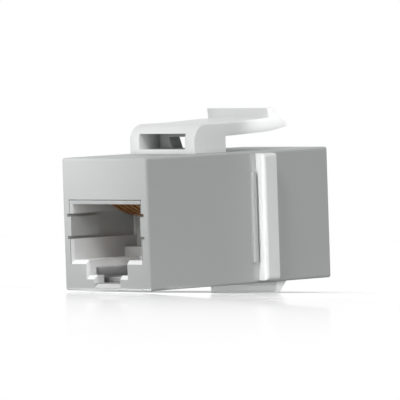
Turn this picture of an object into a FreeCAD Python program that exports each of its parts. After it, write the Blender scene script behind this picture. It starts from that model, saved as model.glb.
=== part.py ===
import FreeCAD, Part
import math
import os
import Sketcher

# Keystone coupler: two back-to-back plug ports in one snap-in body, lengths in millimetres, angles in degrees.
# Each port has its own frame: X across, Y inwards from that port's end face, Z up from the body's underside.

SIZES = {
    # Outer body
    "body_width": 14.6,
    "body_height": 15.9,
    "body_length": 30.8,
    "shell_wall": 0.8,
    "end_wall": 0.8,
    "shell_edge": 0.3,
    "fit_gap": 0.05,
    "cable_shell_length": 18.2,
    # Plug port, its top measured down from the body's top
    "plug_width": 11.9,
    "plug_top": 5.56,
    "plug_floor": 3.64,
    "plug_depth": 10.9,
    "key_width": 6.8,
    "key_floor": 1.81,
    "tab_slot_width": 4.2,
    "tab_slot_lead_in": 0.45,
    "lead_in_width": 0.12,
    "lead_in_rise": 0.44,
    "lead_in_drop": 0.45,
    "lead_in_depth": 0.45,
    "snout_rim": 0.02,
    "snout_gap": 0.1,
    "front_wall": 0.65,
    "ledge_thickness": 0.95,
    "stop_depth": 8.8,
    "stop_height": 4.8,
    "jack_floor": 0.5,
    "jack_floor_start": 4.0,
    "rear_wall": 0.8,
    # Slits beside the mouth, measured down from the top of the plug, and the guide rail between them
    "slit_height": 0.36,
    "slit_lower": 4.0,
    "slit_upper": 1.32,
    "slit_overcut": 0.38,
    "rail_length": 4.6,
    # Contacts, their carrier and the board, tail rows measured from the back of the plug's cavity
    "carrier_height": 2.15,
    "carrier_seat": 0.15,
    "contact_pitch": 1.016,
    "contact_width": 0.46,
    "contact_thickness": 0.28,
    "contact_run": 1.65,
    "comb_gap": 0.12,
    "hairpin_radius": 0.45,
    "hairpin_depth": 3.7,
    "beam_slope": 37.0,
    "beam_straight": 0.95,
    "beam_radius": 10.0,
    "tip_slope": 5.0,
    "tail_bend": 0.5,
    "tail_row_near": 2.5,
    "tail_row_far": 0.9,
    "tail_rise": 0.7,
    "board_thickness": 1.0,
    "board_inset": 1.6,
    "board_hole": 0.7,
    # Ribs that stop the body against the back of the panel
    "rib_length": 2.2,
    "rib_rise": 1.5,
    "rib_inset": 0.3,
    "rib_edge": 0.45,
    # Flared lip in front of each rib, with a raised pad along its middle and a slot behind that
    "lip_length": 0.9,
    "lip_rise": 0.15,
    "lip_pad_rise": 0.5,
    "lip_pad_edge": 0.2,
    "side_slot_width": 0.3,
    "side_slot_height": 10.9,
    "slot_relief": 0.22,
    # Fixed lug and sprung latch, both catching the panel's ledge
    "catch_depth": 7.85,
    "lug_width": 11.3,
    "lug_drop": 1.42,
    "lug_land": 0.5,
    "lug_ramp": 1.25,
    "latch_width": 11.1,
    "bridge_front": 9.8,
    "bridge_length": 5.4,
    "bridge_rise": 3.67,
    "bridge_round": 2.0,
    "bridge_edge": 0.25,
    "base_thickness": 0.56,
    "window_width": 7.9,
    "window_height": 2.13,
    "window_depth": 3.55,
    "rear_width_low": 3.6,
    "rear_width_high": 4.4,
    "arm_root_thickness": 1.73,
    "arm_end_thickness": 1.62,
    "arm_lift": 0.16,
    "hook_width": 10.4,
    "hook_rise": 1.18,
    "hook_lean": 0.17,
    "hook_land": 0.67,
    "hook_reach": 3.0,
    "tip_clearance": 2.7,
    "tip_thickness": 0.35,
    "foot_width": 1.0,
    "foot_length": 2.4,
    "foot_spacing": 8.6,
    "barb_reach": 0.3,
    "barb_height": 0.5,
}

CONTACTS = 8


class Size:
    # A length that carries both its number and the sheet formula that gives it
    def __init__(self, value, formula):
        self.value = value
        self.formula = formula

    def combine(self, other, sign, value):
        text = other.formula if isinstance(other, Size) else repr(other)
        return Size(value, f"({self.formula} {sign} {text})")

    def __add__(self, other):
        return self.combine(other, "+", self.value + number(other))

    def __sub__(self, other):
        return self.combine(other, "-", self.value - number(other))

    def __mul__(self, other):
        return self.combine(other, "*", self.value * number(other))

    def __truediv__(self, other):
        return self.combine(other, "/", self.value / number(other))

    def __neg__(self):
        return Size(-self.value, f"(-{self.formula})")


def number(size):
    return size.value if isinstance(size, Size) else size


def size(name):
    return Size(SIZES[name], "sizes." + name)


ZERO = size("body_width") * 0

# Outer body and shells
HALF_WIDTH = size("body_width") / 2
TOP = size("body_height")
SHELL_INNER = HALF_WIDTH - size("shell_wall")
SHELL_FLOOR = size("shell_wall")
SHELL_CEILING = TOP - size("shell_wall")
SEAM = size("cable_shell_length")
PANEL_SHELL_LENGTH = size("body_length") - SEAM - size("fit_gap")

# Ribs, measured from the cable-side end face, and from the panel-side one
RIB_FRONT = SEAM + size("fit_gap")
RIB_STOP = RIB_FRONT + size("rib_length")
PANEL_RIB_STOP = size("body_length") - RIB_STOP
PANEL_RIB_FRONT = size("body_length") - RIB_FRONT
SLOT_LOW = TOP / 2 - size("side_slot_height") / 2
SLOT_HIGH = TOP / 2 + size("side_slot_height") / 2

# Jack insert
JACK_HALF = SHELL_INNER - size("fit_gap")
JACK_BOTTOM = SHELL_FLOOR + size("fit_gap")
PLUG_TOP = TOP - size("plug_top")
JACK_TOP = PLUG_TOP + size("carrier_height")
JACK_FRONT = size("end_wall") + size("fit_gap")
CAVITY_FRONT = JACK_FRONT + size("front_wall")
JACK_BACK = size("body_length") / 2 - size("fit_gap") / 2
PLUG_HALF = size("plug_width") / 2
KEY_HALF = size("key_width") / 2
TAB_SLOT_HALF = size("tab_slot_width") / 2
LEDGE_BOTTOM = size("plug_floor") - size("ledge_thickness")
CARRIER_HALF = PLUG_HALF + size("carrier_seat")
RIM_WIDTH = size("lead_in_width") + size("snout_rim")
RIM_RISE = size("lead_in_rise") + size("snout_rim")
RIM_DROP = size("lead_in_drop") + size("snout_rim")

# Slits beside the mouth, above and below the shell's guide rail
SLIT_LOWER = PLUG_TOP - size("slit_lower")
SLIT_UPPER = PLUG_TOP - size("slit_upper")
SLIT_HALF = size("slit_height") / 2

# Contact rows and board
TAIL_ROWS = {row: size("plug_depth") - size(row) for row in ("tail_row_near", "tail_row_far")}
RUN_LEVEL = PLUG_TOP + size("contact_run")
COMB_TOP = RUN_LEVEL + size("contact_thickness") / 2 + size("comb_gap")
COMB_HALF = size("contact_width") / 2 + size("comb_gap") / 2
COMB_FRONT = size("hairpin_depth") - size("hairpin_radius") - size("contact_thickness") / 2 - size("comb_gap")
COMB_BACK = TAIL_ROWS["tail_row_far"] + size("contact_thickness") / 2 + size("comb_gap")
BOARD_TOP = JACK_TOP + size("board_thickness")
TAIL_TOP = BOARD_TOP + size("tail_rise")
BOARD_HALF = JACK_HALF - size("fit_gap")
POST_INNER = CARRIER_HALF + size("fit_gap")

# Latch
LATCH_HALF = size("latch_width") / 2
HOOK_HALF = size("hook_width") / 2
BRIDGE_BACK = size("bridge_front") + size("bridge_length")
LATCH_TOP = TOP + size("bridge_rise")
WINDOW_FLOOR = TOP + size("base_thickness")
WINDOW_TOP = WINDOW_FLOOR + size("window_height")
CATCH = size("body_length") - size("catch_depth")
ARM_ROOT_LOW = LATCH_TOP - size("arm_root_thickness")
ARM_END_TOP = LATCH_TOP + size("arm_lift")
ARM_END_LOW = ARM_END_TOP - size("arm_end_thickness")


def make_sheet(doc):
    sheet = doc.addObject("Spreadsheet::Sheet", "sizes")
    for row, (name, value) in enumerate(SIZES.items(), start=1):
        sheet.set(f"A{row}", name.replace("_", " "))
        sheet.set(f"B{row}", str(value))
        sheet.setAlias(f"B{row}", name)
    doc.recompute()


def make_body(doc, label, side):
    # Panel-side pieces are turned about Z, so both ports share one frame
    body = doc.addObject("PartDesign::Body", label)
    if side == "panel":
        body.Placement = FreeCAD.Placement(FreeCAD.Vector(), FreeCAD.Rotation(FreeCAD.Vector(0, 0, 1), 180))
    start = PANEL_RIB_STOP if side == "panel" else -RIB_STOP
    body.setExpression("Placement.Base.y", start.formula)
    body.setExpression("Placement.Base.z", (-(TOP / 2)).formula)
    return body


def make_sketch(body, name, plane, level):
    sketch = body.newObject("Sketcher::SketchObject", f"{body.Label}_{name}")
    support = next(f for f in body.Origin.OriginFeatures if f.Role == plane)
    sketch.AttachmentSupport = (support, [""])
    sketch.MapMode = "FlatFace"
    # The normal of the XZ plane points towards -Y
    offset = -level if plane == "XZ_Plane" else level
    sketch.setExpression("AttachmentOffset.Base.z", offset.formula)
    return sketch


def vector(point):
    return FreeCAD.Vector(number(point[0]), number(point[1]), 0)


def fix(sketch, kind, references, value):
    index = sketch.addConstraint(Sketcher.Constraint(kind, *references, number(value)))
    if isinstance(value, Size):
        sketch.setExpression(f"Constraints[{index}]", value.formula)


def fix_point(sketch, geometry, end, point):
    fix(sketch, "DistanceX", (-1, 1, geometry, end), point[0])
    fix(sketch, "DistanceY", (-1, 1, geometry, end), point[1])


def draw_loop(sketch, points):
    first = sketch.GeometryCount
    count = len(points)
    for index in range(count):
        sketch.addGeometry(Part.LineSegment(vector(points[index]), vector(points[(index + 1) % count])))
    for index in range(count):
        follower = first + (index + 1) % count
        sketch.addConstraint(Sketcher.Constraint("Coincident", first + index, 2, follower, 1))
        fix_point(sketch, first + index, 1, points[index])


def draw_box(sketch, left, right, low, high):
    draw_loop(sketch, [(left, low), (right, low), (right, high), (left, high)])


def add_feature(body, kind, name):
    return body.newObject("PartDesign::" + kind, f"{body.Label}_{name}")


def extrude(body, kind, name, sketch, length):
    # Pads grow and pockets cut towards +Y or +Z, and to both sides of the YZ plane
    before = body.Shape.Volume if body.Tip and body.Tip.Shape.Solids else 0
    feature = add_feature(body, kind, name)
    feature.Profile = sketch
    plane = sketch.AttachmentSupport[0][0].Role
    if plane == "YZ_Plane":
        feature.SideType = "Symmetric"
    else:
        feature.Reversed = (plane == "XZ_Plane") == (kind == "Pad")
    feature.setExpression("Length", length.formula)
    body.Document.recompute()
    change = body.Shape.Volume - before
    if change == 0 or (change > 0) != (kind == "Pad"):
        raise RuntimeError(f"{feature.Label} changes its volume by {change:.4f}")
    return feature


def pad(body, name, sketch, length):
    return extrude(body, "Pad", name, sketch, length)


def pocket(body, name, sketch, length):
    return extrude(body, "Pocket", name, sketch, length)


def pad_box(body, name, plane, level, length, left, right, low, high):
    sketch = make_sketch(body, name + "_sketch", plane, level)
    draw_box(sketch, left, right, low, high)
    return pad(body, name, sketch, length)


def cut_box(body, name, plane, level, length, left, right, low, high):
    sketch = make_sketch(body, name + "_sketch", plane, level)
    draw_box(sketch, left, right, low, high)
    return pocket(body, name, sketch, length)


def round_edges(body, name, radius, wanted):
    base = body.Tip
    edges = [f"Edge{i}" for i, edge in enumerate(base.Shape.Edges, start=1) if wanted(edge.BoundBox)]
    feature = add_feature(body, "Fillet", name)
    feature.Base = (base, edges)
    feature.setExpression("Radius", radius.formula)
    body.Document.recompute()
    return feature


def repeat(body, name, features, axis, length, count):
    pattern = add_feature(body, "LinearPattern", name)
    pattern.Originals = features
    pattern.Direction = (next(f for f in body.Origin.OriginFeatures if f.Role == axis), [""])
    pattern.setExpression("Length", length.formula)
    pattern.Occurrences = count
    body.Tip = pattern
    body.Document.recompute()
    return pattern


def mirror(body, name, features, plane):
    copy = add_feature(body, "Mirrored", name)
    copy.Originals = features
    copy.MirrorPlane = (next(f for f in body.Origin.OriginFeatures if f.Role == plane), [""])
    body.Tip = copy
    body.Document.recompute()
    return copy


def near(value, target):
    return abs(value - number(target)) < 0.001


def draw_mouth(sketch, widen, rise, drop, slot_bottom, gap=ZERO):
    # The stepped outline of a plug: body, latch key and the narrow slot for the release tab
    side = PLUG_HALF + widen + gap
    key = KEY_HALF + widen
    tab = TAB_SLOT_HALF + widen
    top = PLUG_TOP + rise + gap
    shelf = size("plug_floor") - drop
    step = size("key_floor") - drop
    right = [(side, top), (side, shelf), (key, shelf), (key, step), (tab, step), (tab, slot_bottom)]
    left = [(-x, z) for x, z in reversed(right)]
    draw_loop(sketch, right + left)


def make_shell(doc, side):
    body = make_body(doc, f"{side}_side_shell", side)
    length = SEAM if side == "cable" else PANEL_SHELL_LENGTH
    pad_box(body, "sleeve", "XZ_Plane", ZERO, length, -HALF_WIDTH, HALF_WIDTH, ZERO, TOP)

    def outer_edge(box):
        return near(box.YMax, ZERO) or near(box.YMin, ZERO)

    round_edges(body, "edges", size("shell_edge"), outer_edge)
    cut_box(body, "inside", "XZ_Plane", size("end_wall"), length,
            -SHELL_INNER, SHELL_INNER, SHELL_FLOOR, SHELL_CEILING)

    # Mouth in the end wall, where the jack's snout rests with a gap above it and on both sides
    mouth = make_sketch(body, "mouth_sketch", "XZ_Plane", ZERO)
    draw_mouth(mouth, RIM_WIDTH, RIM_RISE, RIM_DROP, SHELL_FLOOR, size("snout_gap"))
    pocket(body, "mouth", mouth, size("end_wall"))

    # Guide rail on each side of the mouth, flush with the face and set off by a slit above and below it
    rails = make_sketch(body, "rails_sketch", "XZ_Plane", ZERO)
    for left, right in ((PLUG_HALF, SHELL_INNER), (-SHELL_INNER, -PLUG_HALF)):
        draw_box(rails, left, right, SLIT_LOWER + SLIT_HALF, SLIT_UPPER - SLIT_HALF)
    pad(body, "rails", rails, size("rail_length"))
    notch_half = PLUG_HALF + RIM_WIDTH + size("snout_gap") + size("slit_overcut")
    for name, level in (("slit_lower", SLIT_LOWER), ("slit_upper", SLIT_UPPER)):
        cut_box(body, name, "XZ_Plane", ZERO, size("end_wall"),
                -notch_half, notch_half, level - SLIT_HALF, level + SLIT_HALF)

    # Ramp that leads the release tab over the floor
    ramp = make_sketch(body, "tab_ramp_sketch", "YZ_Plane", ZERO)
    draw_loop(ramp, [(ZERO, SHELL_FLOOR), (ZERO, SHELL_FLOOR - size("tab_slot_lead_in")),
                     (size("lead_in_depth"), SHELL_FLOOR)])
    pocket(body, "tab_ramp", ramp, (TAB_SLOT_HALF + RIM_WIDTH) * 2)
    return body


def make_cable_shell(doc):
    body = make_shell(doc, "cable")

    # Concave flare on both sides that leads up to the ribs, with a raised pad along its middle
    crest = HALF_WIDTH + size("lip_pad_rise")
    lip_front = SEAM - size("lip_length")
    for name, sign in (("right_lip", 1), ("left_lip", -1)):
        sketch = make_sketch(body, name + "_sketch", "XY_Plane", size("rib_inset"))
        draw_flare(sketch, sign)
        pad(body, name, sketch, TOP - size("rib_inset") * 2)
    pads = make_sketch(body, "lip_pads_sketch", "XY_Plane", SLOT_LOW)
    for left, right in ((SHELL_INNER, crest), (-crest, -SHELL_INNER)):
        draw_box(pads, left, right, lip_front, SEAM)
    pad(body, "lip_pads", pads, size("side_slot_height"))

    def pad_edge(box):
        outside = near(box.XMin, crest) or near(box.XMax, -crest)
        return outside and near(box.YMax, lip_front)

    round_edges(body, "lip_pad_edges", size("lip_pad_edge"), pad_edge)
    cut_box(body, "side_slots", "YZ_Plane", ZERO, crest * 2,
            SEAM - size("side_slot_width"), SEAM, SLOT_LOW, SLOT_HIGH)

    # Holes for the latch's feet
    foot_front = size("bridge_front") + (size("bridge_length") - size("foot_length")) / 2
    centre = size("foot_spacing") / 2
    reach = size("foot_width") / 2 + size("fit_gap")
    hole = make_sketch(body, "foot_holes_sketch", "XY_Plane", SHELL_CEILING)
    for low, high in ((centre - reach, centre + reach), (-centre - reach, -centre + reach)):
        draw_box(hole, low, high, foot_front - size("fit_gap"),
                 foot_front + size("foot_length") + size("fit_gap"))
    pocket(body, "foot_holes", hole, size("shell_wall"))
    return body


def draw_flare(sketch, sign):
    # Straight inside the wall, and a concave arc outside it that starts tangent to the wall
    start, finish = SEAM - size("lip_length"), SEAM
    inner, wall = SHELL_INNER * sign, HALF_WIDTH * sign
    crest = (HALF_WIDTH + size("lip_rise")) * sign
    run, rise = number(size("lip_length")), number(size("lip_rise"))
    radius = (run ** 2 + rise ** 2) / (2 * rise)
    centre = vector((wall, start)) + FreeCAD.Vector(sign * radius, 0, 0)
    sweep = math.asin(run / radius)
    angles = (math.pi - sweep, math.pi) if sign > 0 else (0, sweep)
    wall_end, crest_end = (2, 1) if sign > 0 else (1, 2)
    sketch.addGeometry(Part.LineSegment(vector((crest, finish)), vector((inner, finish))))
    sketch.addGeometry(Part.LineSegment(vector((inner, finish)), vector((inner, start))))
    sketch.addGeometry(Part.LineSegment(vector((inner, start)), vector((wall, start))))
    sketch.addGeometry(Part.ArcOfCircle(Part.Circle(centre, FreeCAD.Vector(0, 0, 1), radius), *angles))
    joins = ((0, 2, 1, 1), (1, 2, 2, 1), (2, 2, 3, wall_end), (3, crest_end, 0, 1))
    for join in joins:
        sketch.addConstraint(Sketcher.Constraint("Coincident", *join))
    for index, point in enumerate(((crest, finish), (inner, finish), (inner, start))):
        fix_point(sketch, index, 1, point)
    fix_point(sketch, 2, 2, (wall, start))
    fix(sketch, "DistanceY", (-1, 1, 3, 3), start)


def make_panel_shell(doc):
    body = make_shell(doc, "panel")
    back = PANEL_SHELL_LENGTH

    # Side notches for the ribs and a floor notch for the lug, all open towards the seam
    cut_box(body, "rib_notches", "YZ_Plane", ZERO, HALF_WIDTH * 2,
            PANEL_RIB_STOP, back, SLOT_LOW, SLOT_HIGH)
    relief = size("slot_relief")
    for name, low in (("lower_relief", SLOT_LOW), ("upper_relief", SLOT_HIGH - relief)):
        cut_box(body, name, "YZ_Plane", ZERO, HALF_WIDTH * 2,
                PANEL_RIB_STOP - relief, PANEL_RIB_STOP, low, low + relief)
    lug_half = size("lug_width") / 2 + size("fit_gap")
    lug_tip = size("catch_depth") - size("lug_land") - size("lug_ramp")
    cut_box(body, "lug_notch", "XY_Plane", ZERO, SHELL_FLOOR,
            -lug_half, lug_half, lug_tip - size("fit_gap"), back)
    return body


def make_jack(doc, side):
    body = make_body(doc, f"{side}_side_jack", side)
    pad_box(body, "block", "XZ_Plane", JACK_FRONT, JACK_BACK - JACK_FRONT,
            -JACK_HALF, JACK_HALF, JACK_BOTTOM, JACK_TOP)

    # Snout that fills the shell's mouth
    snout = make_sketch(body, "snout_sketch", "XZ_Plane", ZERO)
    draw_mouth(snout, RIM_WIDTH, RIM_RISE, RIM_DROP, JACK_BOTTOM)
    pad(body, "snout", snout, JACK_FRONT)

    # Stepped opening through the front wall, cavity, and chamber for the plug's latch
    opening = make_sketch(body, "opening_sketch", "XZ_Plane", ZERO)
    draw_mouth(opening, ZERO, ZERO, ZERO, JACK_BOTTOM)
    pocket(body, "opening", opening, CAVITY_FRONT)
    cut_box(body, "cavity", "XZ_Plane", CAVITY_FRONT, size("plug_depth") - CAVITY_FRONT,
            -PLUG_HALF, PLUG_HALF, size("plug_floor"), PLUG_TOP)
    cut_box(body, "key_way", "XZ_Plane", CAVITY_FRONT, size("plug_depth") - CAVITY_FRONT,
            -KEY_HALF, KEY_HALF, LEDGE_BOTTOM, size("plug_floor"))
    cut_box(body, "chamber", "XZ_Plane", CAVITY_FRONT, size("plug_depth") - CAVITY_FRONT,
            -PLUG_HALF, PLUG_HALF, JACK_BOTTOM + size("jack_floor"), LEDGE_BOTTOM)
    cut_box(body, "tab_relief", "XY_Plane", JACK_BOTTOM, size("jack_floor"),
            -PLUG_HALF, PLUG_HALF, CAVITY_FRONT, size("jack_floor_start"))
    pad_box(body, "plug_stop", "XZ_Plane", size("stop_depth"), size("plug_depth") - size("stop_depth"),
            -PLUG_HALF, PLUG_HALF, LEDGE_BOTTOM, size("stop_height"))

    # Open seat for the contact carrier, and a core-out behind the cavity
    cut_box(body, "carrier_seat", "XY_Plane", PLUG_TOP, size("carrier_height"),
            -CARRIER_HALF, CARRIER_HALF, CAVITY_FRONT, size("plug_depth"))
    core = size("plug_depth") + size("rear_wall")
    cut_box(body, "core_out", "XZ_Plane", core, JACK_BACK - core,
            -PLUG_HALF, PLUG_HALF, JACK_BOTTOM + size("jack_floor"), JACK_TOP - size("rear_wall"))

    # Bevelled lead-in round the mouth
    lead_in = add_feature(body, "SubtractiveLoft", "lead_in")
    outer = make_sketch(body, "lead_in_outer", "XZ_Plane", ZERO)
    draw_mouth(outer, size("lead_in_width"), size("lead_in_rise"), size("lead_in_drop"), JACK_BOTTOM)
    inner = make_sketch(body, "lead_in_inner", "XZ_Plane", size("lead_in_depth"))
    draw_mouth(inner, ZERO, ZERO, ZERO, JACK_BOTTOM)
    lead_in.Profile = outer
    lead_in.Sections = [inner]
    lead_in.Ruled = True
    doc.recompute()

    # Open sides between the slits, which take the shell's guide rails
    cut_box(body, "rail_windows", "XZ_Plane", ZERO, size("plug_depth"), -JACK_HALF, JACK_HALF,
            SLIT_LOWER - SLIT_HALF, SLIT_UPPER + SLIT_HALF)
    return body


def make_panel_jack(doc):
    body = make_jack(doc, "panel")
    head = HALF_WIDTH + size("rib_rise")

    # Each rib: a post inside the shell, and a head that stands proud of it
    post = make_sketch(body, "rib_posts_sketch", "XY_Plane", SLOT_LOW + size("fit_gap"))
    for left, right in ((POST_INNER, HALF_WIDTH), (-HALF_WIDTH, -POST_INNER)):
        draw_box(post, left, right, PANEL_RIB_STOP + size("fit_gap"), PANEL_RIB_FRONT)
    pad(body, "rib_posts", post, size("side_slot_height") - size("fit_gap") * 2)
    heads = make_sketch(body, "rib_heads_sketch", "XY_Plane", size("rib_inset"))
    for left, right in ((HALF_WIDTH, head), (-head, -HALF_WIDTH)):
        draw_box(heads, left, right, PANEL_RIB_STOP, PANEL_RIB_FRONT)
    pad(body, "rib_heads", heads, TOP - size("rib_inset") * 2)

    def rib_edge(box):
        outside = near(box.XMin, head) and near(box.XMax, head)
        outside = outside or (near(box.XMin, -head) and near(box.XMax, -head))
        return outside and not near(box.YMax, PANEL_RIB_STOP)

    round_edges(body, "rib_edges", size("rib_edge"), rib_edge)

    # Lug on a pad that fills the shell's floor notch
    catch = size("catch_depth")
    land = catch - size("lug_land")
    tip = land - size("lug_ramp")
    lug = make_sketch(body, "lug_sketch", "YZ_Plane", ZERO)
    draw_loop(lug, [(tip, ZERO), (land, -size("lug_drop")), (catch, -size("lug_drop")), (catch, ZERO),
                    (PANEL_RIB_FRONT, ZERO), (PANEL_RIB_FRONT, JACK_BOTTOM), (tip, JACK_BOTTOM)])
    pad(body, "lug", lug, size("lug_width"))
    return body


def contact_places(row):
    # Contacts 1, 3, 5, 7 are soldered in the near row of holes and the rest in the far row
    return range(0 if row == "tail_row_near" else 1, CONTACTS, 2)


def contact_place(index):
    return size("contact_pitch") * (index - (CONTACTS - 1) / 2)


def make_carrier(doc, side):
    body = make_body(doc, f"{side}_side_carrier", side)
    front = CAVITY_FRONT + size("fit_gap")
    half = CARRIER_HALF - size("fit_gap")
    pad_box(body, "block", "XY_Plane", PLUG_TOP, size("carrier_height"),
            -half, half, front, size("plug_depth") - size("fit_gap"))

    # One comb slot for each contact, open towards the plug
    first = contact_place(0)
    slot = cut_box(body, "comb", "XY_Plane", PLUG_TOP, COMB_TOP - PLUG_TOP,
                   first - COMB_HALF, first + COMB_HALF, COMB_FRONT, COMB_BACK)
    repeat(body, "comb_row", [slot], "X_Axis", size("contact_pitch") * (CONTACTS - 1), CONTACTS)
    for row, tail in TAIL_ROWS.items():
        places = contact_places(row)
        start = contact_place(places[0])
        reach = size("contact_thickness") / 2 + size("comb_gap")
        hole = cut_box(body, row, "XY_Plane", COMB_TOP, JACK_TOP - COMB_TOP,
                       start - COMB_HALF, start + COMB_HALF, tail - reach, tail + reach)
        repeat(body, row + "_holes", [hole], "X_Axis", size("contact_pitch") * (places[-1] - places[0]), len(places))
    return body


def make_contact(doc, side, index):
    # A flat wire: tail down from the board, run forwards, hairpin, and a beam that flattens towards its tip
    body = make_body(doc, f"{side}_side_contact_{index + 1}", side)
    row = "tail_row_near" if index in contact_places("tail_row_near") else "tail_row_far"
    place, tail = contact_place(index), TAIL_ROWS[row]
    path = make_sketch(body, "path", "YZ_Plane", place)
    draw_contact_path(path, tail)
    section = make_sketch(body, "section", "XY_Plane", TAIL_TOP)
    half, thick = size("contact_width") / 2, size("contact_thickness") / 2
    draw_box(section, place - half, place + half, tail - thick, tail + thick)
    wire = add_feature(body, "AdditivePipe", "wire")
    wire.Profile = section
    wire.Spine = (path, [])
    doc.recompute()
    return body


def draw_contact_path(sketch, tail):
    normal = FreeCAD.Vector(0, 0, 1)
    slope, flat = math.radians(SIZES["beam_slope"]), math.radians(SIZES["tip_slope"])
    bend, pin, radius = SIZES["tail_bend"], SIZES["hairpin_radius"], SIZES["beam_radius"]
    corner = vector((tail, RUN_LEVEL)) + FreeCAD.Vector(-bend, bend, 0)
    turn = vector((size("hairpin_depth"), RUN_LEVEL)) + FreeCAD.Vector(0, -pin, 0)
    down = FreeCAD.Vector(math.cos(slope), -math.sin(slope), 0)
    inward = FreeCAD.Vector(math.sin(slope), math.cos(slope), 0)
    leave = turn - inward * pin
    land = leave + down * SIZES["beam_straight"]
    quarter = math.pi / 2

    # Tail, bend, run, hairpin, straight of the beam, and the arc that flattens it
    sketch.addGeometry(Part.LineSegment(vector((tail, TAIL_TOP)), corner + FreeCAD.Vector(bend, 0, 0)))
    sketch.addGeometry(Part.ArcOfCircle(Part.Circle(corner, normal, bend), -quarter, 0))
    sketch.addGeometry(Part.LineSegment(corner + FreeCAD.Vector(0, -bend, 0), turn + FreeCAD.Vector(0, pin, 0)))
    sketch.addGeometry(Part.ArcOfCircle(Part.Circle(turn, normal, pin), quarter, 3 * quarter - slope))
    sketch.addGeometry(Part.LineSegment(leave, land))
    flattening = Part.Circle(land + inward * radius, normal, radius)
    sketch.addGeometry(Part.ArcOfCircle(flattening, 3 * quarter - slope, 3 * quarter - flat))
    for join in ((0, 2, 1, 2), (1, 1, 2, 1), (2, 2, 3, 1), (3, 2, 4, 1), (4, 2, 5, 1)):
        sketch.addConstraint(Sketcher.Constraint("Tangent", *join))
    sketch.addConstraint(Sketcher.Constraint("Vertical", 0))
    sketch.addConstraint(Sketcher.Constraint("Horizontal", 2))
    fix_point(sketch, 0, 1, (tail, TAIL_TOP))
    fix(sketch, "DistanceY", (-1, 1, 2, 1), RUN_LEVEL)
    fix(sketch, "DistanceX", (-1, 1, 3, 3), size("hairpin_depth"))
    for arc, name in ((1, "tail_bend"), (3, "hairpin_radius"), (5, "beam_radius")):
        fix(sketch, "Radius", (arc,), size(name))
    fix(sketch, "Distance", (4,), size("beam_straight"))
    fix_angle(sketch, 4, -size("beam_slope"))
    fix_angle(sketch, 5, size("beam_slope") - size("tip_slope"))


def fix_angle(sketch, geometry, angle):
    # A line's slope, or the sweep of an arc
    index = sketch.addConstraint(Sketcher.Constraint("Angle", geometry, math.radians(number(angle))))
    sketch.setExpression(f"Constraints[{index}]", f"{angle.formula} * 1 deg")


def make_board(doc):
    body = make_body(doc, "circuit_board", "cable")
    far = size("body_length") - size("board_inset")
    pad_box(body, "blank", "XY_Plane", JACK_TOP, size("board_thickness"),
            -BOARD_HALF, BOARD_HALF, size("board_inset"), far)

    # Notches round the rib posts
    notches = make_sketch(body, "post_notches_sketch", "XY_Plane", JACK_TOP)
    inner = POST_INNER - size("fit_gap")
    for left, right in ((inner, BOARD_HALF), (-BOARD_HALF, -inner)):
        draw_box(notches, left, right, RIB_FRONT - size("fit_gap"), RIB_STOP)
    pocket(body, "post_notches", notches, size("board_thickness"))

    # Solder holes, a mirror-turned set for each port
    holes = make_sketch(body, "solder_holes_sketch", "XY_Plane", JACK_TOP)
    for row, tail in TAIL_ROWS.items():
        for index in contact_places(row):
            draw_hole(holes, contact_place(index), tail)
            draw_hole(holes, -contact_place(index), size("body_length") - tail)
    pocket(body, "solder_holes", holes, size("board_thickness"))
    return body


def draw_hole(sketch, across, along):
    index = sketch.addGeometry(Part.Circle(vector((across, along)), FreeCAD.Vector(0, 0, 1),
                                           number(size("board_hole")) / 2))
    fix_point(sketch, index, 3, (across, along))
    fix(sketch, "Radius", (index,), size("board_hole") / 2)


def make_latch_bridge(doc):
    body = make_body(doc, "latch_bridge", "cable")
    pad_box(body, "block", "XZ_Plane", size("bridge_front"), size("bridge_length"),
            -LATCH_HALF, LATCH_HALF, TOP, LATCH_TOP)

    def brow(box):
        return near(box.YMax, size("bridge_front")) and near(box.ZMin, LATCH_TOP)

    def outline(box):
        beside = near(box.XMin, LATCH_HALF) or near(box.XMax, -LATCH_HALF)
        return beside and box.ZMax > number(TOP) + 0.001 and box.YMin < number(BRIDGE_BACK) - 0.001

    round_edges(body, "brow", size("bridge_round"), brow)
    round_edges(body, "outline", size("bridge_edge"), outline)

    # Window that narrows to a smaller opening at the back, under the arm
    cut_box(body, "window", "XZ_Plane", size("bridge_front"), size("window_depth"),
            -size("window_width") / 2, size("window_width") / 2, WINDOW_FLOOR, WINDOW_TOP)
    rear = make_sketch(body, "rear_opening_sketch", "XZ_Plane", size("bridge_front") + size("window_depth"))
    low_half, high_half = size("rear_width_low") / 2, size("rear_width_high") / 2
    draw_loop(rear, [(-low_half, WINDOW_FLOOR), (low_half, WINDOW_FLOOR),
                     (high_half, ARM_ROOT_LOW), (-high_half, ARM_ROOT_LOW)])
    pocket(body, "rear_opening", rear, size("bridge_length") - size("window_depth"))

    # Barbed feet that snap through the shell's top
    front = size("bridge_front") + (size("bridge_length") - size("foot_length")) / 2
    back = front + size("foot_length")
    barb = SHELL_CEILING - size("fit_gap")
    foot = make_sketch(body, "foot_sketch", "YZ_Plane", size("foot_spacing") / 2)
    draw_loop(foot, [(front, TOP), (front, barb), (front - size("barb_reach"), barb),
                     (front, barb - size("barb_height")), (back, barb - size("barb_height")),
                     (back + size("barb_reach"), barb), (back, barb), (back, TOP)])
    feet = pad(body, "foot", foot, size("foot_width"))
    mirror(body, "other_foot", [feet], "YZ_Plane")
    return body


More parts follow.
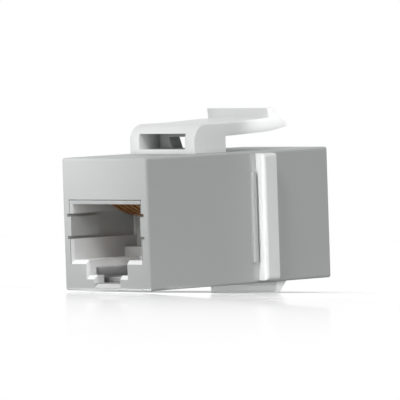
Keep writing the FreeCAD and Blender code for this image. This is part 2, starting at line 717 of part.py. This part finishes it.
def make_latch_arm(doc):
    body = make_body(doc, "latch_arm", "cable")
    root = make_sketch(body, "root", "XZ_Plane", BRIDGE_BACK)
    draw_box(root, -LATCH_HALF, LATCH_HALF, ARM_ROOT_LOW, LATCH_TOP)
    end = make_sketch(body, "end", "XZ_Plane", CATCH)
    draw_box(end, -HOOK_HALF, HOOK_HALF, ARM_END_LOW, ARM_END_TOP)
    arm = add_feature(body, "AdditiveLoft", "arm")
    arm.Profile = root
    arm.Sections = [end]
    arm.Ruled = True
    doc.recompute()

    # Soft edges along both sides of the arm's top
    def top_edge(box):
        return box.ZMin > number(LATCH_TOP) - 0.001 and box.YLength > 1

    round_edges(body, "top_edges", size("bridge_edge"), top_edge)

    # Hook: undercut catch face, short land, and a ramp down to the tip
    crest = ARM_END_TOP + size("hook_rise")
    crest_front = CATCH - size("hook_lean")
    tip = CATCH + size("hook_reach")
    tip_low = TOP + size("tip_clearance")
    hook = make_sketch(body, "hook_sketch", "YZ_Plane", ZERO)
    draw_loop(hook, [(CATCH, ARM_END_LOW), (tip, tip_low), (tip, tip_low + size("tip_thickness")),
                     (crest_front + size("hook_land"), crest), (crest_front, crest), (CATCH, ARM_END_TOP)])
    pad(body, "hook", hook, size("hook_width"))
    return body


def make_parts(doc):
    parts = [make_cable_shell(doc), make_panel_shell(doc), make_jack(doc, "cable"), make_panel_jack(doc)]
    for side in ("cable", "panel"):
        parts.append(make_carrier(doc, side))
        parts += [make_contact(doc, side, index) for index in range(CONTACTS)]
    parts += [make_board(doc), make_latch_bridge(doc), make_latch_arm(doc)]
    return parts


def main():
    doc = FreeCAD.newDocument("keystone_coupler")
    make_sheet(doc)
    parts = make_parts(doc)
    doc.recompute()
    for item in doc.Objects:
        if "Invalid" in item.State or "Error" in item.State:
            raise RuntimeError(f"{item.Label} failed: {item.State}")
    for part in parts:
        if part.Shape.isNull() or not part.Shape.isValid() or not part.Shape.Solids:
            raise RuntimeError(f"{part.Label} has no valid solid")
    os.makedirs("parts", exist_ok=True)
    for part in parts:
        part.Shape.exportStep(f"parts/{part.Label}.step")


main()
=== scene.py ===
import math

import bmesh
import bpy
from mathutils import Matrix, Vector


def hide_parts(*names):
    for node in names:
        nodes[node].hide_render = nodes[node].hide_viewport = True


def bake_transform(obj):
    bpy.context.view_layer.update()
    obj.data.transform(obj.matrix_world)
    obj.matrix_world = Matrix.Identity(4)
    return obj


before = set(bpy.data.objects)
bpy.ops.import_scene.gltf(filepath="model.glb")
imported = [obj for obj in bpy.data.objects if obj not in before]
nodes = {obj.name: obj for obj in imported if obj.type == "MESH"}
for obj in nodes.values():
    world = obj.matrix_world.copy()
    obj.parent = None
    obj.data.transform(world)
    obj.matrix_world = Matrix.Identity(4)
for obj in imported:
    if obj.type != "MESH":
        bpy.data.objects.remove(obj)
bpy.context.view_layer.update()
mm = 0.001  # sizes below are in millimetres, the scene is in metres
scene = bpy.context.scene
scene.view_settings.view_transform = "Standard"
print("frame loaded:", len(nodes), "nodes")


# Shader maths: a socket that can be added, multiplied and so on
class Flow:
    def __init__(self, tree, socket):
        self.tree = tree
        self.socket = socket

    def maths(self, operation, first, second=0.0):
        return addNode(self.tree, "ShaderNodeMath", {"operation": operation}, {0: first, 1: second})

    def __add__(self, other):
        return self.maths("ADD", self, other)

    def __radd__(self, other):
        return self.maths("ADD", other, self)

    def __sub__(self, other):
        return self.maths("SUBTRACT", self, other)

    def __rsub__(self, other):
        return self.maths("SUBTRACT", other, self)

    def __mul__(self, other):
        return self.maths("MULTIPLY", self, other)

    def __rmul__(self, other):
        return self.maths("MULTIPLY", other, self)

    def __truediv__(self, other):
        return self.maths("DIVIDE", self, other)

    def __rtruediv__(self, other):
        return self.maths("DIVIDE", other, self)

    def __pow__(self, other):
        return self.maths("POWER", self, other)

    def __lt__(self, other):
        return self.maths("LESS_THAN", self, other)

    def __gt__(self, other):
        return self.maths("GREATER_THAN", self, other)

    def __abs__(self):
        return self.maths("ABSOLUTE", self)

    def sine(self):
        return self.maths("SINE", self)

    def exponent(self):
        return self.maths("EXPONENT", self)

    def atLeast(self, least):
        return self.maths("MAXIMUM", self, least)

    def atMost(self, most):
        return self.maths("MINIMUM", self, most)


# One node: its type, its settings, and the values or links of its sockets
def addNode(tree, kind, settings=None, inputs=None, output=0):
    node = tree.nodes.new(kind)
    for name, value in (settings or {}).items():
        setattr(node, name, value)
    for name, value in (inputs or {}).items():
        if isinstance(value, Flow):
            tree.links.new(value.socket, node.inputs[name])
        else:
            node.inputs[name].default_value = value
    return Flow(tree, node.outputs[output]) if len(node.outputs) else node


def newMaterial(name):
    material = bpy.data.materials.new(name)
    material.use_nodes = True
    material.node_tree.nodes.clear()
    return material, material.node_tree


def closeMaterial(tree, shader):
    addNode(tree, "ShaderNodeOutputMaterial", None, {"Surface": shader})


def objectPlace(tree):
    return addNode(tree, "ShaderNodeTexCoord", None, None, "Object")


def splitPlace(tree, place):
    node = addNode(tree, "ShaderNodeSeparateXYZ", None, {"Vector": place}).socket.node
    return [Flow(tree, node.outputs[axis]) for axis in ("X", "Y", "Z")]


def noise(tree, place, perMm, detail=3.0, rough=0.55):
    return addNode(tree, "ShaderNodeTexNoise", None,
                   {"Vector": place, "Scale": perMm / mm, "Detail": detail, "Roughness": rough})


# The colour sockets of this node go by number: 6 and 7 in, 2 out
def mixColours(tree, factor, first, second):
    return addNode(tree, "ShaderNodeMix", {"data_type": "RGBA"}, {"Factor": factor, 6: first, 7: second}, 2)


def reliefOf(tree, height, strength, depth):
    return addNode(tree, "ShaderNodeBump", None, {"Strength": strength, "Distance": depth * mm, "Height": height})


def rgb(value):
    return (*value, 1.0)


# 1 inside a box given in millimetres, 0 outside
def insideBox(tree, place, low, high):
    mask = 1.0
    for axis, least, most in zip(splitPlace(tree, place), low, high):
        mask = mask * (axis > least * mm) * (axis < most * mm)
    return mask


# Moulded plastic: a soft flow mottle, fine spark-eroded grain, and a roughness that wanders a little
plasticGrades = {"mottle": (4.0, 0.6), "grain": (2.0, 0.5), "ior": 1.5}


def mouldedPlastic(name, look, tint=None):
    material, tree = newMaterial(name)
    place = objectPlace(tree)
    mottle = noise(tree, place, look["mottlePerMm"], *plasticGrades["mottle"])
    grain = noise(tree, place, look["grainPerMm"], *plasticGrades["grain"])
    colour = mixColours(tree, mottle, rgb(look["shade"]), rgb(look["colour"]))
    # An optional masked colour over the mottle: painted shade in the insert's cavities and the latch's window, a
    # paler ramp on the shell
    if tint:
        colour = mixColours(tree, tint(tree, place), colour, rgb(look["tint"]))
    rough = look["rough"] + (mottle - 0.5) * look["roughSpread"] + (grain - 0.5) * look["roughSpread"]
    bump = reliefOf(tree, grain, look["grainStrength"], look["grainDepth"])
    shader = addNode(tree, "ShaderNodeBsdfPrincipled", None,
                     {"Base Color": colour, "Roughness": rough, "Normal": bump, "IOR": plasticGrades["ior"]})
    closeMaterial(tree, shader)
    return material


greyLook = {"colour": (0.492, 0.507, 0.500), "shade": (0.472, 0.487, 0.480), "tint": (0.60, 0.605, 0.605),
            "mottlePerMm": 0.16, "grainPerMm": 9.0, "grainDepth": 0.006, "grainStrength": 0.35,
            "rough": 0.46, "roughSpread": 0.10}
# Its tint is the grey of the painted shade deep in the plug cavities and of the sill behind each tab slot
whiteLook = {"colour": (0.865, 0.870, 0.870), "shade": (0.825, 0.832, 0.835), "tint": (0.40, 0.405, 0.40),
             "mottlePerMm": 0.22, "grainPerMm": 7.0, "grainDepth": 0.004, "grainStrength": 0.25,
             "rough": 0.38, "roughSpread": 0.10}
# Its tint is the dark grey of the painted shade in the latch's window
latchLook = {"colour": (0.885, 0.890, 0.892), "shade": (0.850, 0.857, 0.860), "tint": (0.27, 0.277, 0.274),
             "mottlePerMm": 0.18, "grainPerMm": 7.0, "grainDepth": 0.004, "grainStrength": 0.25,
             "rough": 0.36, "roughSpread": 0.10}
combLook = {"colour": (0.36, 0.365, 0.36), "shade": (0.30, 0.305, 0.30),
            "mottlePerMm": 0.3, "grainPerMm": 8.0, "grainDepth": 0.006, "grainStrength": 0.3,
            "rough": 0.5, "roughSpread": 0.12}

# Ramp under each tab slot: paler than the shell around it
rampSizes = {"half": 2.26, "low": -7.62, "high": -7.14, "ends": ((-20.445, -19.95), (9.85, 10.345))}


def rampTint(tree, place):
    v = rampSizes
    near, far = [insideBox(tree, place, (-v["half"], first, v["low"]), (v["half"], last, v["high"]))
                 for first, last in v["ends"]]
    return near + far


# Window of the latch: painted shade, greyer with depth as far as the web, and paler again in the opening through it
recessSizes = {"half": 3.98, "low": 8.48, "high": 10.47, "front": -10.65, "web": -7.1, "back": -5.27,
               "webFace": 0.02, "ease": 0.45}


def recessPaintedShade(tree, place):
    v = recessSizes
    inside = insideBox(tree, place, (-v["half"], v["front"], v["low"]), (v["half"], v["back"], v["high"]))
    along = splitPlace(tree, place)[1]
    depth = ((along - v["front"] * mm) / ((v["web"] - v["front"]) * mm)).atMost(1.0)
    return inside * depth * (1 - (along > (v["web"] + v["webFace"]) * mm) * v["ease"])


# Plug cavities: painted shade, greyer with depth from either mouth; and grey on the sill behind each tab slot
cavitySizes = {"half": 6.1, "low": -4.3, "high": 6.2, "reach": 100.0, "middle": -5.05, "mouth": 13.2, "deep": 7.4,
               "most": 0.7, "sillFront": (-18.9, -7.2), "sillBack": (8.8, -6.62)}


def cavityPaintedShadeAndSill(tree, place):
    v = cavitySizes
    inside = insideBox(tree, place, (-v["half"], -v["reach"], v["low"]), (v["half"], v["reach"], v["high"]))
    along = abs(splitPlace(tree, place)[1] - v["middle"] * mm)
    depth = (v["mouth"] * mm - along) / ((v["mouth"] - v["deep"]) * mm)
    sill = insideBox(tree, place, (-v["half"], *v["sillFront"]), (v["half"], *v["sillBack"]))
    return inside * depth.atLeast(0.0).atMost(1.0) * v["most"] + sill


greyPlastic = mouldedPlastic("greyShellPlastic", greyLook, rampTint)
whitePlastic = mouldedPlastic("whiteInsertPlastic", whiteLook, cavityPaintedShadeAndSill)
latchPlastic = mouldedPlastic("whiteLatchPlastic", latchLook, recessPaintedShade)
combPlastic = mouldedPlastic("contactCombPlastic", combLook)

# Spring wire: drawn alloy with streaks in its plating
wireLook = {"alloy": (0.95, 0.54, 0.21), "dull": (0.68, 0.34, 0.12), "streaks": (16.0, 0.8, 0.8), "perMm": 1.0,
            "grade": (3.0, 0.6), "rough": 0.30, "roughSpread": 0.18, "strength": 0.2, "depth": 0.004}


def springWire(look):
    material, tree = newMaterial("contactWire")
    stretched = addNode(tree, "ShaderNodeMapping", None, {"Vector": objectPlace(tree), "Scale": look["streaks"]})
    streak = noise(tree, stretched, look["perMm"], *look["grade"])
    colour = mixColours(tree, streak, rgb(look["dull"]), rgb(look["alloy"]))
    rough = look["rough"] + (streak - 0.5) * look["roughSpread"]
    bump = reliefOf(tree, streak, look["strength"], look["depth"])
    shader = addNode(tree, "ShaderNodeBsdfPrincipled", None,
                     {"Base Color": colour, "Roughness": rough, "Metallic": 1.0, "Normal": bump})
    closeMaterial(tree, shader)
    return material


# Circuit board: solder mask over glass weave
boardLook = {"mask": (0.020, 0.130, 0.055), "thin": (0.035, 0.185, 0.080), "weavePerMm": 1.1, "blotchPerMm": 0.4,
             "weaveShare": 0.4, "blotchShare": 0.5, "rough": 0.32, "roughSpread": 0.1, "strength": 0.2, "depth": 0.01}


def solderMask(look):
    material, tree = newMaterial("boardMask")
    place = objectPlace(tree)
    turn = 2 * math.pi * look["weavePerMm"] / mm
    across, along = [(axis * turn).sine() for axis in splitPlace(tree, place)[:2]]
    weave = across * along * 0.5 + 0.5
    blotch = noise(tree, place, look["blotchPerMm"])
    share = weave * look["weaveShare"] + blotch * look["blotchShare"]
    colour = mixColours(tree, share, rgb(look["mask"]), rgb(look["thin"]))
    rough = look["rough"] + blotch * look["roughSpread"]
    bump = reliefOf(tree, weave, look["strength"], look["depth"])
    shader = addNode(tree, "ShaderNodeBsdfPrincipled", None,
                     {"Base Color": colour, "Roughness": rough, "Normal": bump})
    closeMaterial(tree, shader)
    return material


wireAlloy = springWire(wireLook)
boardGreen = solderMask(boardLook)


def dress(name, material):
    mesh = nodes[name].data
    mesh.materials.clear()
    mesh.materials.append(material)


for side in ("cable_side", "panel_side"):
    dress(side + "_shell", greyPlastic)
    dress(side + "_jack", whitePlastic)
    dress(side + "_carrier", combPlastic)
    for index in range(1, 9):
        dress(f"{side}_contact_{index}", wireAlloy)
dress("circuit_board", boardGreen)
print("materials on the CAD nodes")

# Modelling helpers: selection by place or normal in edit mode
selectModes = {"verts": (True, False, False), "edges": (False, True, False), "faces": (False, False, True)}


def beginPiece():
    if bpy.context.mode != "OBJECT":
        bpy.ops.object.mode_set(mode="OBJECT")
    bpy.ops.object.select_all(action="DESELECT")


def pick(kind, wanted):
    piece = bpy.context.edit_object
    bpy.ops.mesh.select_all(action="DESELECT")
    bpy.context.tool_settings.mesh_select_mode = selectModes[kind]
    shape = bmesh.from_edit_mesh(piece.data)
    for item in getattr(shape, kind):
        if wanted(item):
            item.select_set(True)
    shape.select_flush_mode()
    bmesh.update_edit_mesh(piece.data)


def middle(edge):
    return (edge.verts[0].co + edge.verts[1].co) / 2


def close(value, target, slack=0.01):
    return abs(value / mm - target) < slack


def cutAcross(point, normal):
    bpy.ops.mesh.select_all(action="SELECT")
    bpy.ops.mesh.bisect(plane_co=[p * mm for p in point], plane_no=normal)


def slide(x, y, z):
    bpy.ops.transform.translate(value=(x * mm, y * mm, z * mm))


def growBy(x, y, z):
    bpy.ops.mesh.extrude_region_move(TRANSFORM_OT_translate={"value": (x * mm, y * mm, z * mm)})


def stretch(factors, x, y, z):
    bpy.ops.transform.resize(value=factors, center_override=(x * mm, y * mm, z * mm))


def addBlock(name, low, high):
    beginPiece()
    centre = [(a + b) / 2 * mm for a, b in zip(low, high)]
    span = [(b - a) * mm for a, b in zip(low, high)]
    bpy.ops.mesh.primitive_cube_add(size=1, location=centre, scale=span)
    piece = bpy.context.object
    piece.name = name
    bpy.ops.object.transform_apply(location=True, rotation=True, scale=True)
    bpy.ops.object.mode_set(mode="EDIT")
    return piece


def soften(piece, width, segments, angle):
    edges = piece.modifiers.new("softEdge", "BEVEL")
    edges.width = width * mm
    edges.segments = segments
    edges.limit_method = "ANGLE"
    edges.angle_limit = math.radians(angle)
    bpy.ops.object.modifier_apply(modifier=edges.name)


# Latch: arch with a window, sprung arm and hook in one moulding, and the barbed feet below it
latchSizes = {
    "halfWidth": 5.55, "front": -10.65, "back": -5.25, "base": 7.95, "top": 11.52, "brow": 2.0, "browSteps": 14,
    "windowHalf": 3.95, "windowLow": 8.51, "windowHigh": 10.44, "web": -7.1, "rearLow": 1.8, "rearHigh": 2.2,
    "armLow": 9.89, "catch": 2.5, "armSteps": 12, "endLow": 10.16, "endTop": 11.78, "hookHalf": 5.33,
    "crest": 12.96, "lean": 0.17, "land": 0.67, "behind": 0.4, "tip": 5.38, "tipLow": 10.65, "tipHigh": 11.0,
    "footMiddle": 4.3, "footHalf": 0.5, "footFront": -9.15, "footBack": -6.75, "stemIn": 0.1,
    "barbTop": 7.1, "barbLow": 6.6, "barb": 0.3, "facing": 0.9, "slack": 0.01,
    "outline": 0.25, "outlineSteps": 5, "outlineAngle": 0.7, "softEdge": 0.07, "softSteps": 2, "softAngle": 38.0,
    "smoothAngle": 40.0, "bendEnd": -2.25}


def makeLatch(v):
    latch = addBlock("latch", (-v["halfWidth"], v["front"], v["base"]), (v["halfWidth"], v["back"], v["top"]))

    # Round brow over the front, then the cuts for window and arm
    pick("edges", lambda e: close(middle(e).y, v["front"]) and close(middle(e).z, v["top"]))
    bpy.ops.mesh.bevel(offset=v["brow"] * mm, segments=v["browSteps"], affect="EDGES")
    for x in (-v["windowHalf"], v["windowHalf"]):
        cutAcross((x, 0, 0), (1, 0, 0))
    for z in (v["windowLow"], v["armLow"], v["windowHigh"]):
        cutAcross((0, 0, z), (0, 0, 1))

    # Window: open the front, draw its walls back to the web, and close them there
    def inWindow(f):
        c = f.calc_center_median() / mm
        return c.y < v["web"] and abs(c.x) < v["windowHalf"] and v["windowLow"] < c.z < v["windowHigh"]

    pick("faces", inWindow)
    bpy.ops.mesh.delete(type="FACE")
    pick("edges", lambda e: e.is_boundary)
    bpy.ops.mesh.extrude_edges_move(TRANSFORM_OT_translate={"value": (0, 1 * mm, 0)})
    stretch((1, 0, 1), 0, v["web"], 0)
    bpy.ops.mesh.edge_face_add()

    # Smaller opening with sloping sides through the web
    def onWeb(f):
        c = f.calc_center_median()
        ends = close(c.y, v["web"]) or close(c.y, v["back"])
        upright = abs(f.normal.y) > v["facing"]
        return ends and upright and abs(c.x) < v["windowHalf"] * mm and c.z > v["windowLow"] * mm

    rise = v["armLow"] - v["windowLow"]
    for sign in (-1, 1):
        pick("faces", onWeb)
        bpy.ops.mesh.bisect(plane_co=(sign * v["rearLow"] * mm, 0, v["windowLow"] * mm),
                            plane_no=(sign * rise, 0, v["rearLow"] - v["rearHigh"]))
    pick("faces", onWeb)
    bpy.ops.mesh.bisect(plane_co=(0, 0, v["armLow"] * mm), plane_no=(0, 0, 1))

    def inOpening(f):
        c = f.calc_center_median()
        return onWeb(f) and abs(c.x) < v["rearLow"] * mm and c.z < v["armLow"] * mm

    pick("faces", inOpening)
    bpy.ops.mesh.delete(type="ONLY_FACE")
    pick("edges", lambda e: e.is_boundary)
    bpy.ops.mesh.bridge_edge_loops()

    # Arm: drawn out from the back to the catch, and tapered
    def armRoot(f):
        c = f.calc_center_median()
        return close(c.y, v["back"]) and f.normal.y > v["facing"] and c.z > v["armLow"] * mm

    pick("faces", armRoot)
    growBy(0, v["catch"] - v["back"], 0)
    thinner = (v["endTop"] - v["endLow"]) / (v["top"] - v["armLow"])
    stretch((v["hookHalf"] / v["halfWidth"], 1, thinner), 0, 0, v["top"])
    slide(0, 0, v["endTop"] - v["top"])

    # Hook: a land behind the catch face, raised with a lean, and a ramp drawn out to a blunt tip
    def onLand(f):
        y = f.calc_center_median().y / mm
        return f.normal.z > v["facing"] and v["catch"] < y < v["catch"] + v["land"]

    def behindHook(f):
        return f.calc_center_median().y > (v["catch"] + v["behind"]) * mm and f.normal.y > v["facing"]

    growBy(0, v["land"], 0)
    pick("faces", onLand)
    growBy(0, -v["lean"], v["crest"] - v["endTop"])
    pick("faces", behindHook)
    growBy(0, v["tip"] - v["catch"], 0)
    flat = (v["tipHigh"] - v["tipLow"]) / (v["crest"] - v["endLow"])
    stretch((1, 0, flat), 0, v["tip"], v["endLow"])
    slide(0, 0, v["tipLow"] - v["endLow"])
    share = v["land"] / (v["tip"] - v["catch"])
    pick("verts", lambda w: close(w.co.y, v["catch"] + v["land"]) and close(w.co.z, v["endLow"]))
    slide(0, 0, share * (v["tipLow"] - v["endLow"]))

    # Cuts across the arm, in even steps from its root to the catch
    run = (v["catch"] - v["back"]) / v["armSteps"]
    for step in range(1, v["armSteps"]):
        cutAcross((0, v["back"] + run * step, 0), (0, 1, 0))

    # Softer outline where the sides meet the front and the top
    def outline(e):
        sharp = e.is_manifold and e.calc_face_angle(0) > v["outlineAngle"]
        c = middle(e)
        upper = c.z > (v["top"] - v["slack"]) * mm or c.y < (v["front"] + v["brow"] + v["slack"]) * mm
        beside = min(abs(w.co.x) for w in e.verts) > (v["hookHalf"] - v["slack"]) * mm
        return sharp and beside and upper and c.z > v["base"] * mm and c.y < v["catch"] * mm

    pick("edges", outline)
    bpy.ops.mesh.bevel(offset=v["outline"] * mm, segments=v["outlineSteps"], affect="EDGES")
    bpy.ops.mesh.select_all(action="SELECT")
    bpy.ops.mesh.normals_make_consistent(inside=False)
    bpy.ops.object.mode_set(mode="OBJECT")
    soften(latch, v["softEdge"], v["softSteps"], v["softAngle"])

    # Feet: a stem through the shell's top and a barb below it
    pieces = [latch]
    length = v["footBack"] - v["footFront"]
    for sign in (-1, 1):
        near, far = sign * v["footMiddle"] - v["footHalf"], sign * v["footMiddle"] + v["footHalf"]
        stem = addBlock("stem", (near, v["footFront"], v["barbTop"]),
                        (far, v["footBack"], v["windowLow"] - v["stemIn"]))
        bpy.ops.object.mode_set(mode="OBJECT")
        foot = addBlock("barb", (near, v["footFront"] - v["barb"], v["barbLow"]),
                        (far, v["footBack"] + v["barb"], v["barbTop"]))
        pick("verts", lambda w: close(w.co.z, v["barbLow"]))
        stretch((1, length / (length + 2 * v["barb"]), 1), 0, (v["footFront"] + v["footBack"]) / 2, 0)
        bpy.ops.object.mode_set(mode="OBJECT")
        pieces += [stem, foot]
    beginPiece()
    for piece in pieces:
        piece.select_set(True)
    bpy.context.view_layer.objects.active = latch
    bpy.ops.object.join()
    bpy.ops.object.shade_smooth_by_angle(angle=math.radians(v["smoothAngle"]))
    latch.data.materials.append(latchPlastic)
    return latch


latch = makeLatch(latchSizes)
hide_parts("latch_bridge", "latch_arm")
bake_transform(latch)
print("latch:", len(latch.data.polygons), "faces")


# 1 for what the eye sees, straight or in a reflection, and 0 for light that falls on the part
def plainRay(tree):
    rays = addNode(tree, "ShaderNodeLightPath").socket.node
    straight, mirrored, through = [Flow(tree, rays.outputs[name]) for name in
                                   ("Is Camera Ray", "Is Glossy Ray", "Is Transmission Ray")]
    return (straight + mirrored + through).atMost(1.0)


# Floor: close under the lower front edge and the lug, so the part lies nose down on it
stageSizes = {"noseY": -20.45, "noseZ": -8.06, "lugY": 2.5, "lugZ": -9.39, "lean": 0.224, "reach": 1500.0,
              "matt": 0.30, "pale": 0.95, "glow": 0.39, "sheen": 0.62, "blur": 0.022, "ior": 1.45, "fade": 110.0,
              "footHalf": (7.3, 15.4), "footMiddle": 15.4, "soft": 2.5, "shadowDim": 0.65, "dull": 0.5}
white = rgb((1.0, 1.0, 1.0))


def makeFloor(v):
    beginPiece()
    tilt = math.atan2(v["lugZ"] - v["noseZ"], v["lugY"] - v["noseY"])
    bpy.ops.mesh.primitive_plane_add(size=2 * v["reach"] * mm)
    floor = bpy.context.object
    floor.name = "floor"
    floor.rotation_euler = (tilt, math.radians(v["lean"]), 0)
    floor.location = (0, v["noseY"] * mm, v["noseZ"] * mm)
    material, tree = newMaterial("paleFloor")

    # The sheen fades with the distance from the part's footprint; close under the part a painted contact shadow dims
    # the floor's glow and weakens its sheen
    across, along = splitPlace(tree, objectPlace(tree))[:2]
    across = (abs(across) - v["footHalf"][0] * mm).atLeast(0.0)
    along = (abs(along - v["footMiddle"] * mm) - v["footHalf"][1] * mm).atLeast(0.0)
    away = (across * across + along * along) ** 0.5
    fade = (away * (-1 / (v["fade"] * mm))).exponent()
    paintedShadow = (away * (-1 / (v["soft"] * mm))).exponent()

    seen = plainRay(tree)
    tone = v["matt"] + (v["pale"] - v["matt"]) * seen
    tone = addNode(tree, "ShaderNodeCombineColor", None, {0: tone, 1: tone, 2: tone})
    matt = addNode(tree, "ShaderNodeBsdfDiffuse", None, {"Color": tone})
    # Painted contact shadow: the glow and the sheen are dimmed close under the part
    level = v["glow"] * seen * (1 - paintedShadow * v["shadowDim"])
    glow = addNode(tree, "ShaderNodeEmission", None, {"Color": white, "Strength": level})
    lit = addNode(tree, "ShaderNodeAddShader", None, {0: matt, 1: glow})
    mirror = addNode(tree, "ShaderNodeBsdfGlossy", None, {"Color": white, "Roughness": v["blur"]})
    gloss = addNode(tree, "ShaderNodeFresnel", None, {"IOR": v["ior"]})
    share = fade * gloss * v["sheen"] * (1 - paintedShadow * v["dull"])
    shader = addNode(tree, "ShaderNodeMixShader", None, {0: share, 1: lit, 2: mirror})

    # Clear from below, so that it never hides the part
    below = addNode(tree, "ShaderNodeNewGeometry", None, None, "Backfacing")
    clear = addNode(tree, "ShaderNodeBsdfTransparent")
    shader = addNode(tree, "ShaderNodeMixShader", None, {0: below, 1: shader, 2: clear})
    closeMaterial(tree, shader)
    floor.data.materials.append(material)


makeFloor(stageSizes)

# World: white to the eye and in reflections; as a lamp it is a tent, brighter overhead
worldLook = {"zenith": 0.46}


def makeWorld(v):
    world = bpy.data.worlds.new("studio")
    scene.world = world
    world.use_nodes = True
    tree = world.node_tree
    tree.nodes.clear()
    plain = plainRay(tree)
    way = addNode(tree, "ShaderNodeTexCoord", None, None, "Generated")
    rise = splitPlace(tree, way)[2].atLeast(0.0)
    level = plain + (1 - plain) * rise * v["zenith"]
    sky = addNode(tree, "ShaderNodeBackground", None, {"Color": white, "Strength": level})
    addNode(tree, "ShaderNodeOutputWorld", None, {"Surface": sky})


makeWorld(worldLook)

# Lamps: a softbox and a small one before the face, three suns, and narrow strips that each reach one feature
lampSizes = {
    "softbox": {"kind": "AREA", "place": (-6.0, -44.0, 8.6), "aim": (-1.6, -20.45, 1.8), "size": 8.0,
                "power": 0.0033},
    "browLight": {"kind": "AREA", "place": (-12.0, -30.0, 12.0), "aim": (-5.0, -20.45, 5.0), "size": 8.0,
                  "power": 0.0005},
    "edgeStrip": {"kind": "AREA", "place": (2.0, -45.0, -6.3), "aim": (0.0, -20.4, -7.9), "size": 15.0,
                  "height": 0.25, "spread": 1.2, "power": 0.00002},
    "keyStrip": {"kind": "AREA", "place": (20.0, -45.0, -5.2), "aim": (-3.4, -17.8, -5.2), "size": 4.5,
                 "height": 1.4, "spread": 1.5, "power": 0.0000035},
    "keyLight": {"kind": "SUN", "place": (30.0, -80.0, 100.0), "aim": (0.0, 0.0, 0.0), "size": 14.0, "power": 1.0},
    "sideLight": {"kind": "SUN", "place": (100.0, -10.0, 25.0), "aim": (0.0, 0.0, 0.0), "size": 40.0, "power": 1.0},
    "backFill": {"kind": "SUN", "place": (-80.0, 70.0, 6.0), "aim": (0.0, 0.0, 0.0), "size": 10.0, "power": 1.2,
                 "gloss": False},
    "hookStrip": {"kind": "AREA", "place": (45.0, 5.9, 13.5), "aim": (5.2, 4.9, 12.0), "size": 12.5,
                  "height": 3.0, "spread": 8.0, "power": 0.00008},
    "ribStrip": {"kind": "AREA", "place": (12.0, -30.0, 0.5), "aim": (8.15, -0.7, 0.0), "size": 2.1,
                 "height": 18.0, "spread": 4.0, "power": 0.00006},
    "lugStrip": {"kind": "AREA", "place": (20.0, -22.0, -7.55), "aim": (0.0, 2.4, -8.95), "size": 14.0,
                 "height": 0.6, "spread": 4.0, "power": 0.000031}}


# A sun's size is its angle in degrees, an area lamp's its width in millimetres
def makeLamp(name, v):
    data = bpy.data.lights.new(name, v["kind"])
    data.energy = v["power"]
    if v["kind"] == "SUN":
        data.angle = math.radians(v["size"])
    else:
        data.shape = "RECTANGLE" if "height" in v else "DISK"
        data.size = v["size"] * mm
        data.size_y = v.get("height", v["size"]) * mm
        data.spread = math.radians(v.get("spread", 180.0))
    lamp = bpy.data.objects.new(name, data)
    lamp.visible_camera = False
    lamp.visible_glossy = v.get("gloss", True)
    scene.collection.objects.link(lamp)
    place, target = Vector(v["place"]) * mm, Vector(v["aim"]) * mm
    lamp.location = place
    lamp.rotation_mode = "QUATERNION"
    lamp.rotation_quaternion = (target - place).to_track_quat("-Z", "Y")


for name, values in lampSizes.items():
    makeLamp(name, values)

# Camera: long lens, low over the floor, at the photograph's corner view
cameraSizes = {"target": (0.424, -4.889, 2.162), "right": (0.7027, 0.7107, -0.0326),
               "down": (0.0030, -0.0487, -0.9988), "distance": 1000.0, "frameWidth": 48.31, "sensor": 36.0,
               "nearest": 50.0, "farthest": 10000.0}


def makeCamera(v):
    lens = bpy.data.cameras.new("photoView")
    lens.sensor_width = v["sensor"]
    lens.lens = v["sensor"] * v["distance"] / v["frameWidth"]
    lens.clip_start, lens.clip_end = v["nearest"] * mm, v["farthest"] * mm
    camera = bpy.data.objects.new("photoView", lens)
    scene.collection.objects.link(camera)
    right = Vector(v["right"]).normalized()
    up = -Vector(v["down"])
    up = (up - right * up.dot(right)).normalized()
    back = right.cross(up)
    camera.rotation_mode = "QUATERNION"
    camera.rotation_quaternion = Matrix((right, up, back)).transposed().to_quaternion()
    camera.location = Vector(v["target"]) * mm + back * v["distance"] * mm
    scene.camera = camera


makeCamera(cameraSizes)
print("floor, lamps and camera set")
